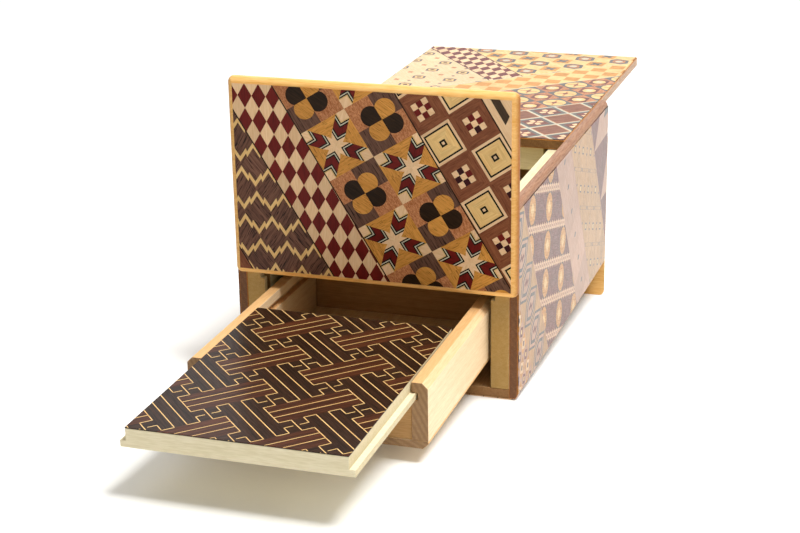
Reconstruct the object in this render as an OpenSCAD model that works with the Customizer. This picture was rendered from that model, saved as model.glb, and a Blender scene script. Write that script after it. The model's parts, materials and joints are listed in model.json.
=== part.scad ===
// Wooden puzzle box with a secret drawer, shown part-way through its moves: the rear panel is
// down, the top is slid back, the front panel is up, the drawer is out and its lid is out.
// X runs across the box, Y from the front to the rear, Z up. The origin is the middle of the
// underside of the closed body. In the modules, y counts from the body's front end.

/* [Body] */
// Width over the side veneers
body_w = 110; // [96:1:140]
// Length of the side boards
body_l = 155; // [135:1:200]
// Height from the underside to the top
body_h = 76; // [63:0.5:95]
// Radius of the long outer edges
edge_r = 2.4; // [1:0.1:3]

/* [Boards] */
// Thickness of an outer side board with its veneer
side_t = 3.7; // [3:0.1:5]
// Thickness of an inner wall
inner_t = 7; // [5.5:0.1:9]
// Thickness of the base board with its veneer
base_t = 3.9; // [3:0.1:6]
// Thickness of the top board with its veneer
top_t = 4.2; // [3:0.1:6]
// Thickness of an end panel with its veneer
panel_t = 3; // [2.4:0.1:4]
// Thickness of the divider floor
divider_t = 3; // [2:0.1:5]
// Thickness of the walls across the inside
cross_t = 3.5; // [2:0.1:6]
// Thickness of a veneer
veneer_t = 0.3; // [0.2:0.05:0.5]

/* [Panel cleats] */
// Depth of a cleat behind an end panel
cleat_t = 6.5; // [6:0.1:9]
// Lip of the inner wall in front of a cleat's tongue
lip_t = 3; // [2:0.1:3.4]
// Thickness of a cleat's tongue
key_t = 2.5; // [1.5:0.1:2.5]
// How far a cleat's tongue reaches into the inner wall
key_w = 2.3; // [1:0.1:3]

/* [Top runners] */
// Depth of the runners and cross cleats under the top board
rail_h = 9.8; // [7:0.1:12]
// Width of a runner
rail_w = 9; // [5:0.5:14]
// Gap between a runner and the inner wall
rail_side_gap = 2; // [1:0.1:3]
// Set-back of the cross cleats from the ends of the top board
rail_set_back = 1.5; // [0.5:0.1:3]
// Height of a guide strip
guide_h = 2.4; // [1.5:0.1:3.5]
// How far a guide strip reaches into the inner wall
guide_w = 1.5; // [1:0.1:2.5]

/* [Drawer] */
// Length of the drawer
drawer_l = 114.5; // [95:0.5:118]
// Height of the drawer's sides with the bottom
drawer_h = 23.7; // [20:0.1:26]
// Thickness of the drawer's sides and back
drawer_t = 5.8; // [4:0.1:7]
// Thickness of the drawer's bottom
drawer_bottom_t = 2.8; // [1.6:0.1:4]
// Corner chamfer of the drawer's long edges
drawer_chamfer = 2; // [0.5:0.1:2.2]
// Height of the runners under the drawer
runner_h = 7.9; // [5:0.1:9]
// Width of a runner under the drawer
runner_w = 7; // [4:0.5:10]
// Distance of the drawer runners from the body's front end
runner_start = 24; // [18:1:30]

/* [Drawer lid] */
// Thickness of the lid with its veneer
lid_t = 6.9; // [5:0.1:8]
// How far the lid stands above the drawer's sides
lid_proud = 0.7; // [0:0.1:1]
// Thickness of the lid's tongues
tongue_t = 2.4; // [1.6:0.1:3]
// How far a tongue reaches into the drawer's side
tongue_w = 2; // [1:0.1:2.5]

/* [Shown position] */
// How far the top is slid back
top_back = 86.8; // [70:0.2:90]
// How far the drawer is out of the body
drawer_out = 73.5; // [40:0.5:78]
// How far the lid is out of the drawer
lid_out = 59.5; // [10:0.5:75]
// Gap between the raised front panel and the drawer's lid
front_open_gap = 4.2; // [3.5:0.1:8]

/* [Clearances] */
// Gap of a sliding fit
slide_gap = 0.2; // [0.1:0.05:0.4]
// Gap between the drawer and the inner wall on each side
drawer_gap = 1.2; // [0.4:0.1:2]
// Gap between the drawer's lid and the divider floor
head_gap = 2.1; // [1:0.1:4]
// Gap over the lowered rear panel
rear_gap = 0.3; // [0.2:0.1:1]
// Depth of the groove that holds the divider floor
divider_groove = 1.6; // [1:0.1:2]

/* [Hidden] */
half_w = body_w / 2;
board_x = half_w - veneer_t;                 // outer face of a side board
side_x = half_w - side_t;                    // inner face of a side board
bay_x = side_x - inner_t;                    // inner face of an inner wall
wall_top = body_h - top_t - slide_gap;       // top of the inner walls
rail_z = body_h - top_t - rail_h;            // underside of the top's runners
rail_x = bay_x - rail_side_gap;              // outer face of a runner
guide_z = rail_z + 3;                        // underside of a guide strip
cross_y = cleat_t + slide_gap + 0.8;         // front of the wall behind the front cleat
cross_top = rail_z - 1;                      // top of the cross walls, clear of the runners

drawer_z = base_t + runner_h + slide_gap;    // underside of the drawer
drawer_top = drawer_z + drawer_h;
drawer_x = bay_x - drawer_gap;               // outer face of a drawer side
drawer_in_x = drawer_x - drawer_t;
drawer_y = -drawer_out;                      // front end of the drawer
drawer_in_l = drawer_l - drawer_t;
floor_top = drawer_z + drawer_bottom_t;

lid_top = drawer_top + lid_proud;
lid_z = lid_top - lid_t;
lid_x = drawer_in_x - slide_gap * 2;
lid_l = drawer_in_l - 3 * slide_gap;
lid_y = drawer_y - lid_out;

divider_z = lid_top + head_gap;              // underside of the divider floor
cleat_z = base_t + slide_gap;                // underside of the front cleat, closed
cleat_top = rail_z - slide_gap;              // top of both cleats, closed
front_lift = lid_top + front_open_gap;       // the raised front panel's underside
rear_drop = top_t + rail_h + rear_gap;       // how far the rear panel is down
rear_cleat_z = base_t + rear_drop + 4.2;     // underside of the rear cleat, closed

top_l = body_l - 2 * slide_gap;
top_x = side_x - slide_gap;
top_y = top_back + slide_gap;

oak = "#9b6b3f";
cedar = "#b58250";
magnolia = "#d9c08c";
birch = "#e8c691";
walnut = "#4a2e22";
mosaic = "#8a4a34";

// A board between its low and high corners, with y counted from the body's front end
module board(low, high) {
    translate([low[0], low[1] - body_l / 2, low[2]]) cube(high - low);
}

// Mirrors a right-hand piece to the left
module to_left() {
    mirror([1, 0, 0]) children();
}

// A profile drawn in X and Z, run along Y from y0 to y1
module along_y(y0, y1) {
    translate([0, y1 - body_l / 2, 0]) rotate([90, 0, 0]) linear_extrude(y1 - y0) children();
}

// ---- Body: base, sides, inner walls and floors ----

module base_board() {
    color(oak) board([-side_x, 0, veneer_t], [side_x, body_l, base_t]);
}

module base_veneer() {
    flat_x = half_w - edge_r;
    color(mosaic) board([-flat_x, 0, 0], [flat_x, body_l, veneer_t]);
}

// The outer long edges are rounded to where the veneers end
module side_profile() {
    round_x = board_x - edge_r;
    translate([side_x, veneer_t]) square([round_x - side_x + 0.01, body_h - veneer_t]);
    translate([side_x, edge_r]) square([side_t - veneer_t, body_h - 2 * edge_r]);
    intersection() {
        union() {
            translate([round_x, edge_r]) circle(r = edge_r, $fn = 48);
            translate([round_x, body_h - edge_r]) circle(r = edge_r, $fn = 48);
        }
        translate([side_x, veneer_t]) square([side_t, body_h]);
    }
}

module right_side_board() {
    color(oak) along_y(0, body_l) side_profile();
}

module left_side_board() {
    to_left() right_side_board();
}

module right_side_veneer() {
    color(mosaic) board([board_x, 0, edge_r], [half_w, body_l, body_h - edge_r]);
}

module left_side_veneer() {
    to_left() right_side_veneer();
}

// Grooved for the divider floor, the top's guide strip and the tongues of both end cleats
module right_inner_wall() {
    groove_t = key_t + 2 * slide_gap;
    key_y = lip_t - slide_gap;
    key_depth = key_w + slide_gap;
    rear_y = body_l - key_y - groove_t;
    color(magnolia) difference() {
        board([bay_x, 0, base_t], [side_x, body_l, wall_top]);
        board([bay_x - 1, -1, divider_z], [bay_x + divider_groove, body_l + 1, divider_z + divider_t]);
        board([bay_x - 1, -1, guide_z - slide_gap],
              [bay_x + guide_w + slide_gap, body_l + 1, guide_z + guide_h + slide_gap]);
        for (y = [key_y, rear_y])
            board([bay_x - 1, y, base_t - 1], [bay_x + key_depth, y + groove_t, wall_top + 1]);
    }
}

module left_inner_wall() {
    to_left() right_inner_wall();
}

module divider_floor() {
    x = bay_x + divider_groove;
    color(magnolia) board([-x, cross_y, divider_z], [x, body_l - cross_y - cross_t, divider_z + divider_t]);
}

// Stands on the divider floor, below the runners of the top
module compartment_front_wall() {
    color(cedar) board([-bay_x, cross_y, divider_z + divider_t], [bay_x, cross_y + cross_t, cross_top]);
}

// Closes the rear end of the drawer bay and of the compartment
module rear_cross_wall() {
    y = body_l - cross_y;
    color(cedar) board([-bay_x, y - cross_t, base_t], [bay_x, y, cross_top]);
}

module right_drawer_runner() {
    x = drawer_in_x - 3;
    color(cedar) board([x - runner_w, runner_start, base_t],
                       [x, body_l - cross_y - cross_t, base_t + runner_h]);
}

module left_drawer_runner() {
    to_left() right_drawer_runner();
}

// ---- End panels: the front one is up, the rear one is down ----

// A panel board whose edges fall away from the veneer to the back, with its back face at y = 0
// and its front towards -Y
module panel_board() {
    deep = panel_t - veneer_t;
    module layer(y, inset) {
        translate([inset - half_w, y, inset]) cube([body_w - 2 * inset, 0.02, body_h - 2 * inset]);
    }
    hull() {
        layer(-0.02, 0);
        layer(-deep * 0.45, edge_r * 0.16);
        layer(-deep * 0.8, edge_r * 0.5);
        layer(-deep, edge_r);
    }
}

module panel_veneer() {
    translate([edge_r - half_w, -panel_t, edge_r])
        cube([body_w - 2 * edge_r, veneer_t, body_h - 2 * edge_r]);
}

// A cleat with a tongue on each side that runs in the inner walls; y0 is its panel's back face
module cleat(z0, z1) {
    x = bay_x - slide_gap;
    translate([-x, -slide_gap, z0]) cube([2 * x, cleat_t + slide_gap, z1 - z0]);
    translate([-bay_x - key_w, lip_t, z0]) cube([2 * (bay_x + key_w), key_t, z1 - z0]);
}

module at_front() {
    translate([0, -slide_gap - body_l / 2, front_lift]) children();
}

module at_rear() {
    translate([0, slide_gap + body_l / 2, -rear_drop]) mirror([0, 1, 0]) children();
}

module front_panel_board() {
    color(oak) at_front() panel_board();
}

module front_panel_veneer() {
    color(mosaic) at_front() panel_veneer();
}

module front_panel_cleat() {
    color(magnolia) at_front() translate([0, slide_gap, 0]) cleat(cleat_z, cleat_top);
}

module rear_panel_board() {
    color(oak) at_rear() panel_board();
}

module rear_panel_veneer() {
    color(mosaic) at_rear() panel_veneer();
}

module rear_panel_cleat() {
    color(magnolia) at_rear() translate([0, slide_gap, 0]) cleat(rear_cleat_z, cleat_top);
}

// ---- Top: board and veneer on a frame of runners, slid back ----

module top_board() {
    color(oak) board([-top_x, top_y, rail_z + rail_h], [top_x, top_y + top_l, body_h - veneer_t]);
}

module top_veneer() {
    trim = 0.4;
    color(mosaic) board([trim - top_x, top_y + trim, body_h - veneer_t],
                        [top_x - trim, top_y + top_l - trim, body_h]);
}

module top_cross_cleat(y) {
    color(magnolia) board([-rail_x, y, rail_z], [rail_x, y + rail_w, rail_z + rail_h]);
}

module top_front_cleat() {
    top_cross_cleat(top_y + rail_set_back);
}

module top_rear_cleat() {
    top_cross_cleat(top_y + top_l - rail_set_back - rail_w);
}

module top_right_runner() {
    front = top_y + rail_set_back + rail_w;
    color(magnolia) board([rail_x - rail_w, front, rail_z],
                          [rail_x, top_y + top_l - rail_set_back - rail_w, rail_z + rail_h]);
}

module top_left_runner() {
    to_left() top_right_runner();
}

// Glued along a runner; its outer edge runs in the inner wall's groove
module top_right_guide() {
    color(cedar) board([rail_x, top_y + rail_set_back + rail_w, guide_z],
                       [bay_x + guide_w, top_y + top_l - rail_set_back - rail_w, guide_z + guide_h]);
}

module top_left_guide() {
    to_left() top_right_guide();
}

// ---- Drawer ----

// The side's section: chamfered outer top edge and the groove for the lid's tongue
module drawer_side_profile() {
    difference() {
        polygon([
            [drawer_in_x, floor_top], [drawer_x, floor_top],
            [drawer_x, drawer_top - drawer_chamfer],
            [drawer_x - drawer_chamfer, drawer_top], [drawer_in_x, drawer_top]
        ]);
        translate([drawer_in_x - 1, lid_z - slide_gap])
            square([tongue_w + 1 + slide_gap, tongue_t + 2 * slide_gap]);
    }
}

module drawer_right_side() {
    color(birch) along_y(drawer_y, drawer_y + drawer_l) drawer_side_profile();
}

module drawer_left_side() {
    to_left() drawer_right_side();
}

// Runs under the sides, with its lower long edges chamfered
module drawer_bottom() {
    cut = drawer_bottom_t * 0.7;
    color(birch) along_y(drawer_y, drawer_y + drawer_l) polygon([
        [cut - drawer_x, drawer_z], [drawer_x - cut, drawer_z], [drawer_x, drawer_z + cut],
        [drawer_x, floor_top], [-drawer_x, floor_top], [-drawer_x, drawer_z + cut]
    ]);
}

// Ends below the lid, which slides over it
module drawer_front_wall() {
    y = drawer_y + 0.3;
    color(cedar) board([-drawer_in_x, y, floor_top],
                       [drawer_in_x, y + drawer_t, lid_z - slide_gap]);
}

module drawer_back_wall() {
    color(cedar) board([-drawer_in_x, drawer_y + drawer_in_l, floor_top],
                       [drawer_in_x, drawer_y + drawer_l, drawer_top]);
}

// ---- Drawer lid ----

module lid_board() {
    color(magnolia) {
        board([-lid_x, lid_y, lid_z], [lid_x, lid_y + lid_l, lid_top - veneer_t]);
        board([-lid_x - tongue_w, lid_y, lid_z], [lid_x + tongue_w, lid_y + lid_l, lid_z + tongue_t]);
    }
}

module lid_veneer() {
    color(walnut) board([-lid_x, lid_y, lid_top - veneer_t], [lid_x, lid_y + lid_l, lid_top]);
}

base_board();
base_veneer();
left_side_board();
right_side_board();
left_side_veneer();
right_side_veneer();
left_inner_wall();
right_inner_wall();
divider_floor();
compartment_front_wall();
rear_cross_wall();
left_drawer_runner();
right_drawer_runner();
front_panel_board();
front_panel_veneer();
front_panel_cleat();
rear_panel_board();
rear_panel_veneer();
rear_panel_cleat();
top_board();
top_veneer();
top_front_cleat();
top_rear_cleat();
top_left_runner();
top_right_runner();
top_left_guide();
top_right_guide();
drawer_left_side();
drawer_right_side();
drawer_bottom();
drawer_front_wall();
drawer_back_wall();
lid_board();
lid_veneer();
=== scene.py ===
"""A wooden puzzle box with a secret drawer, faced with marquetry and shown part-way through its moves.

Every solid piece of the frame is dressed as a sanded board of its own wood, and every veneer is laid
from separate wooden tiles, as a marquetry maker glues them.
"""

import json
import logging
import math
import zlib
from dataclasses import dataclass, field
from enum import Enum

import bmesh
import bpy
import numpy as np
from mathutils import Matrix, Vector

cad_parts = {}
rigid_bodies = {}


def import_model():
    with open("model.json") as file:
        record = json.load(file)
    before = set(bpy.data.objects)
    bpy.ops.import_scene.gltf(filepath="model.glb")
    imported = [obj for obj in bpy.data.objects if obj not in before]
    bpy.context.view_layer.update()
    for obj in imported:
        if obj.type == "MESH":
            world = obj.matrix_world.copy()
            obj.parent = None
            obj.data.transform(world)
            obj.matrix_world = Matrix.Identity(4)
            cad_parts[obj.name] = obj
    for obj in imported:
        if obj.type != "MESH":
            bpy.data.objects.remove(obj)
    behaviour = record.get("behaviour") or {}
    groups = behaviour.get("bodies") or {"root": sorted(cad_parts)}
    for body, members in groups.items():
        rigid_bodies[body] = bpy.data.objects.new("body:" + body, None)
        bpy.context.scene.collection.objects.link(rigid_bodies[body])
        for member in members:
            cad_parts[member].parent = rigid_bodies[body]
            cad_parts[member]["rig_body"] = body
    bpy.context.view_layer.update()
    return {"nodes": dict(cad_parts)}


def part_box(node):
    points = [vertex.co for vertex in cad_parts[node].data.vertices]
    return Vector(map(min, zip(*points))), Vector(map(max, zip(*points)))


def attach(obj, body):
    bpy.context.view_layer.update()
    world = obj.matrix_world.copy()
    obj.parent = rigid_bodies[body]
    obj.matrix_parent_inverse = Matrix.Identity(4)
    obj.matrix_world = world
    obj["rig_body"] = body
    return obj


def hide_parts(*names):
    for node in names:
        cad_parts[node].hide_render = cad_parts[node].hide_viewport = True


MM = 0.001
LOG = logging.getLogger("puzzle_box")

Point = tuple[float, float]

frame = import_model()


# ---- Small helpers ----


def linear(hex_colour: str) -> tuple[float, float, float, float]:
    """Turns an sRGB colour to linear light: ((c + 0.055) / 1.055) to the power 2.4 above the toe.

    Args:
        hex_colour: The colour as #rrggbb.

    Returns:
        Linear red, green, blue and an alpha of 1.
    """
    srgb = np.array([int(hex_colour[i : i + 2], 16) for i in (1, 3, 5)]) / 255
    rgb = np.where(srgb <= 0.04045, srgb / 12.92, ((srgb + 0.055) / 1.055) ** 2.4)
    return (*rgb.tolist(), 1.0)


def add(
    tree: bpy.types.NodeTree, kind: str, settings: dict | None = None, inputs: dict | None = None
) -> bpy.types.Node:
    """Adds one node with its settings and its inputs.

    Args:
        tree: The node tree.
        kind: The node's type name.
        settings: Properties of the node itself.
        inputs: Socket name or index to a value, or to an output socket, which is linked.

    Returns:
        The new node.
    """
    node = tree.nodes.new(kind)
    for name, value in (settings or {}).items():
        setattr(node, name, value)
    for key, value in (inputs or {}).items():
        if isinstance(value, bpy.types.NodeSocket):
            tree.links.new(value, node.inputs[key])
        else:
            node.inputs[key].default_value = value
    return node


def put_attribute(mesh: bpy.types.Mesh, name: str, values: np.ndarray, domain: str = "POINT") -> None:
    """Stores one number or one vector for each vertex, or for each face.

    Args:
        mesh: The mesh.
        name: The attribute's name.
        values: An array of shape (count,) or (count, 3).
        domain: POINT for vertices, FACE for faces.
    """
    is_vector = values.ndim == 2
    layer = mesh.attributes.new(name, "FLOAT_VECTOR" if is_vector else "FLOAT", domain)
    layer.data.foreach_set("vector" if is_vector else "value", values.astype(np.float32).ravel())


def put_in_scene(name: str, data: bpy.types.ID) -> bpy.types.Object:
    """Makes an object at the origin for a mesh that is already in place, or for a lamp or camera."""
    piece = bpy.data.objects.new(name, data)
    bpy.context.scene.collection.objects.link(piece)
    return piece


# ---- Woods ----


@dataclass(frozen=True)
class WoodFinish:
    """One wood with its surface: two ground colours, growth rings, fibres, pores and lacquer.

    Lengths are in millimetres. The pattern reads the piece's own grain attribute, whose first
    number runs along the fibres, and its tone attribute, which makes one tile paler than the next.
    The end and edge attributes say where a board shows its end grain and its narrow edges.
    """

    name: str
    pale: str
    deep: str
    line: str
    ring_mm: float = 1.5
    ring: float = 0.3
    fibre_mm: float = 0.32
    stretch: float = 16.0
    pore_mm: float = 0.3
    pore: float = 0.0
    end_tint: str = "#ffffff"
    edge_tint: str = "#ffffff"
    end_ring: float = 0.0
    roughness: float = 0.45
    coat: float = 1.0

    def material(self) -> bpy.types.Material:
        """Builds the wood once and gives the same material on every later call."""
        made = bpy.data.materials.get(self.name)
        if made is not None:
            return made
        made = bpy.data.materials.new(self.name)
        made.use_nodes = True
        tree = made.node_tree
        tree.nodes.clear()
        grain = add(tree, "ShaderNodeAttribute", {"attribute_name": "grain"}).outputs["Vector"]
        tone = add(tree, "ShaderNodeAttribute", {"attribute_name": "tone"}).outputs["Fac"]
        # Real fibres are finer than 0.05 mm. They are drawn coarser, or they would blur away
        fibres = self._streaks(tree, grain, self.fibre_mm, self.stretch, (0.3, 0.7))
        rings = self._streaks(tree, grain, self.ring_mm, self.stretch * 2.5, (0.34, 0.66))
        pores = self._streaks(tree, grain, self.pore_mm, self.stretch * 0.8, (0.55, 0.66))
        blend = {"data_type": "RGBA"}
        inputs = {0: self.ring, 6: fibres, 7: rings}
        share = add(tree, "ShaderNodeMix", blend, inputs).outputs[2]
        inputs = {0: share, 6: linear(self.deep), 7: linear(self.pale)}
        ground = add(tree, "ShaderNodeMix", blend, inputs).outputs[2]
        sunk = add(tree, "ShaderNodeMath", {"operation": "MULTIPLY"}, {0: pores, 1: self.pore}).outputs[0]
        inputs = {0: sunk, 6: ground, 7: linear(self.line)}
        colour = add(tree, "ShaderNodeMix", blend, inputs).outputs[2]
        for attribute, tint in (("end", self.end_tint), ("edge", self.edge_tint)):
            if tint != "#ffffff":
                amount = add(tree, "ShaderNodeAttribute", {"attribute_name": attribute}).outputs["Fac"]
                inputs = {0: amount, 6: colour, 7: linear(tint)}
                colour = add(tree, "ShaderNodeMix", {**blend, "blend_type": "MULTIPLY"}, inputs).outputs[2]
        if self.end_ring:
            # Growth rings cut across, drawn coarser than life so that they show on a thin board
            cut = add(tree, "ShaderNodeMapping", None, {"Vector": grain, "Scale": (0.0, 0.5, 1.0)})
            inputs = {
                "Vector": cut.outputs["Vector"], "Scale": 0.3, "Distortion": 1.5, "Detail Scale": 3.0
            }
            settings = {"wave_type": "BANDS", "bands_direction": "DIAGONAL"}
            wave = add(tree, "ShaderNodeTexWave", settings, inputs).outputs["Fac"]
            times = {"operation": "MULTIPLY"}
            share = add(tree, "ShaderNodeMath", times, {0: wave, 1: self.end_ring}).outputs[0]
            ends = add(tree, "ShaderNodeAttribute", {"attribute_name": "end"}).outputs["Fac"]
            share = add(tree, "ShaderNodeMath", times, {0: share, 1: ends}).outputs[0]
            inputs = {0: share, 6: colour, 7: linear(self.line)}
            colour = add(tree, "ShaderNodeMix", blend, inputs).outputs[2]
        value = add(
            tree, "ShaderNodeMapRange", None, {"Value": tone, "To Min": 0.66, "To Max": 1.34}
        ).outputs["Result"]
        toned = add(tree, "ShaderNodeHueSaturation", None, {"Value": value, "Color": colour})
        self._surface(tree, toned.outputs["Color"], fibres, sunk)
        return made

    @staticmethod
    def _streaks(
        tree: bpy.types.NodeTree,
        grain: bpy.types.NodeSocket,
        width_mm: float,
        stretch: float,
        limits: tuple[float, float],
    ) -> bpy.types.NodeSocket:
        """Noise drawn out along the fibres.

        Args:
            tree: The material's tree.
            grain: The grain coordinates in millimetres.
            width_mm: Width of one streak.
            stretch: How many times longer than wide a streak is.
            limits: The noise values that become 0 and 1.

        Returns:
            The streaks, from 0 to 1.
        """
        across = 1 / width_mm
        scale = (across / stretch, across, across * 0.6)
        place = add(tree, "ShaderNodeMapping", None, {"Vector": grain, "Scale": scale}).outputs["Vector"]
        inputs = {"Vector": place, "Scale": 1.0, "Detail": 2.0, "Roughness": 0.6}
        noise = add(tree, "ShaderNodeTexNoise", None, inputs).outputs["Fac"]
        inputs = {"Value": noise, "From Min": limits[0], "From Max": limits[1]}
        settings = {"interpolation_type": "SMOOTHSTEP"}
        return add(tree, "ShaderNodeMapRange", settings, inputs).outputs["Result"]

    def _surface(
        self,
        tree: bpy.types.NodeTree,
        colour: bpy.types.NodeSocket,
        fibres: bpy.types.NodeSocket,
        pores: bpy.types.NodeSocket,
    ) -> None:
        """Adds the shader: fibres break the gloss a little and pores sink under the surface.

        Args:
            tree: The material's tree.
            colour: The finished colour.
            fibres: The fibre streaks.
            pores: The pores' depth.
        """
        height = add(tree, "ShaderNodeMath", {"operation": "SUBTRACT"}, {0: fibres, 1: pores}).outputs[0]
        bump = {"Strength": 0.3, "Distance": 0.03 * MM, "Height": height}
        limits = {"Value": fibres, "To Min": self.roughness + 0.08, "To Max": self.roughness - 0.08}
        inputs = {
            "Base Color": colour,
            "Roughness": add(tree, "ShaderNodeMapRange", None, limits).outputs["Result"],
            "Normal": add(tree, "ShaderNodeBump", None, bump).outputs["Normal"],
            "Specular IOR Level": 0.05,
            "Coat Weight": self.coat,
            "Coat Roughness": 0.22,
            "Coat IOR": 1.13,
        }
        shader = add(tree, "ShaderNodeBsdfPrincipled", None, inputs)
        add(tree, "ShaderNodeOutputMaterial", None, {"Surface": shader.outputs["BSDF"]})


# Lacquered marquetry woods. The sheet is sanded flat and sprayed, so all share one satin gloss

# Japanese magnolia, almost plain cream: the ground that the darker tiles stand out on
MAGNOLIA = WoodFinish("magnolia_tile", "#eac79d", "#dab184", "#b98f5f", ring=0.2)
# Spindle tree, pale yellow and close-grained: warm light tiles with hardly a line
SPINDLE = WoodFinish("spindle_tree_tile", "#eac788", "#d2a665", "#a87c42")
# Lacquer tree, golden orange with narrow dark rings: the brightest warm tiles
LACQUER_TREE = WoodFinish(
    "lacquer_tree_tile", "#d89a4a", "#bc7e36", "#6e4318", ring_mm=0.9, ring=0.5, pore=0.7, pore_mm=0.3
)
# Maple dyed through with red: flat deep red, with the grain just showing
RED_DYED = WoodFinish("red_dyed_maple_tile", "#741d17", "#56120f", "#300c0a", pore=0.3)
# The same maple from the bottom of the dye bath: nearly black with a red cast
RED_BLACK = WoodFinish("dark_red_dyed_tile", "#3e1216", "#2a0b10", "#1c0808", pore=0.3)
# Katsura out of a bog: dark brown, with soft darker pores
BOG_WOOD = WoodFinish("bog_katsura_tile", "#32200f", "#1c1007", "#0c0805", pore=0.4)
# Wood dyed black: the thin outlines, too dark for its grain to show
INK = WoodFinish("black_dyed_tile", "#16160f", "#0e0e09", "#080806")
# Bleached dogwood: greyish white lines beside the black ones
CHALK = WoodFinish("bleached_dogwood_tile", "#ccc7b0", "#b5ae95", "#988f74")
# Mountain cherry, pinkish brown and mottled by short pores
CHERRY = WoodFinish(
    "mountain_cherry_tile", "#c98a5c", "#985a36", "#6f3c20", stretch=2.4, ring=0.1, fibre_mm=0.42, pore=0.5
)
# Walnut: cool brown, with wide rings and long open pores
WALNUT = WoodFinish(
    "walnut_tile", "#705040", "#503529", "#22140e", ring_mm=2.4, ring=0.4, pore=0.9, pore_mm=0.42
)
# Zelkova: reddish brown, with fine dark pores in rows
ZELKOVA = WoodFinish(
    "zelkova_tile", "#8c5538", "#6e3d27", "#48220f", ring_mm=1.2, ring=0.3, pore=0.6, pore_mm=0.3
)
# Chinaberry: strong bands of brown and near black from its ring pores
CHINABERRY = WoodFinish(
    "chinaberry_tile", "#7e5745", "#4a3027", "#1c100b", ring_mm=1.0, ring=0.6, pore=0.95, pore_mm=0.42
)
# Persimmon heartwood: the dull dark brown of the pickets
PICKET = WoodFinish("persimmon_tile", "#4c3a2a", "#3a2b1e", "#1e150e", pore=0.4)
# Rosewood: deep red brown, striped with black
ROSEWOOD = WoodFinish("rosewood_tile", "#542b18", "#2e170c", "#170a05", ring_mm=1.2, ring=0.7, pore=0.6)
# Wenge: blackish brown with fine paler stripes
WENGE = WoodFinish("wenge_tile", "#351e12", "#1b0f08", "#0a0503", ring_mm=1.2, ring=0.7, pore=0.6)
# Plum heartwood: dusky red, close and even
PLUM = WoodFinish("plum_heartwood_tile", "#824437", "#5c2e25", "#3e1c16", pore=0.4)
# Mulberry: yellow brown with darker pores, between the pale and the brown tiles
MULBERRY = WoodFinish("mulberry_tile", "#c89c6a", "#b08450", "#866038", pore=0.4)
# Maple tinted pink: a soft rosy tile with little figure
PINK_MAPLE = WoodFinish("pink_maple_tile", "#c69c84", "#b48a70", "#90684e", pore=0.2)
# Bog wood gone grey: the coolest tile of the sheets
GREY_BOG = WoodFinish("grey_bog_tile", "#6c6862", "#504c48", "#3a3632", pore=0.3)

# Solid boards. The box's outside is lacquered, the inside is planed and left raw

# Lacquered cypress: honey-yellow rounded edges. The end tint darkens the left and right edges, where the end
# grain shows: painted shade on those edges
PANEL_EDGE = WoodFinish(
    "lacquered_cypress", "#fccd86", "#e6aa56", "#b07a3c", ring=0.4, end_tint="#9a744c", roughness=0.35
)
# Stained side boards: mid brown with open pores, and paler end grain with rings across
SIDE_OAK = WoodFinish(
    "stained_side_board", "#a67e62", "#8a6049", "#684a38", pore=0.5, end_tint="#d0c8b8",
    end_ring=0.5, coat=0.6
)
# Stained top board: a lighter brown than the sides, with pale ends
TOP_CEDAR = WoodFinish(
    "stained_top_board", "#b8906c", "#9c7654", "#74553c", pore=0.4, end_tint="#dcd6c4",
    end_ring=0.3, coat=0.6
)
# Thinly sealed cedar: tan and nearly dull
BASE_WOOD = WoodFinish("base_cedar", "#bb946a", "#a07a52", "#7c5c3c", end_tint="#d8d0c4", coat=0.2)
# Planed raw magnolia: dull greenish cream inner walls
RAW_MAGNOLIA = WoodFinish(
    "raw_magnolia", "#e6dfbe", "#d4c89e", "#b4a678", ring=0.4, end_tint="#ccae84", roughness=0.62, coat=0.0
)
# Planed raw cedar: dull tan floors and cross walls
RAW_CEDAR = WoodFinish(
    "raw_cedar", "#bd9566", "#a57c4e", "#86603a", ring=0.4, end_tint="#c8a888", roughness=0.62, coat=0.0
)
# Sealed birch: cream sides, and greyer end grain with clear rings across
DRAWER_BIRCH = WoodFinish(
    "drawer_birch", "#efd5b0", "#dfc198", "#8c6e52", ring=0.4, end_tint="#b4a498", edge_tint="#f6dfbe",
    end_ring=0.75, roughness=0.5, coat=0.3
)
# Planed raw basswood: the palest board, very even
LID_BASSWOOD = WoodFinish(
    "lid_basswood", "#ece0c2", "#dccfaa", "#c0ae86", end_tint="#e6e2da", roughness=0.6, coat=0.0
)
# Lacquer rubbed thin on a sanded arris: an orange line along a board's edge
ARRIS = WoodFinish("rubbed_lacquer_arris", "#c08040", "#a8682e", "#7a4a20", coat=1.0)


# ---- Solid boards ----


class Along(Enum):
    """The way a board's fibres run, and the two directions across them."""

    WIDTH = (0, 2, 1)
    LENGTH = (1, 0, 2)
    WIDTH_FLAT = (0, 1, 2)
    LENGTH_UPRIGHT = (1, 2, 0)


def seeded(name: str) -> np.random.Generator:
    """A random generator that gives the same numbers for the same name each run."""
    return np.random.default_rng(zlib.crc32(name.encode()))


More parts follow.
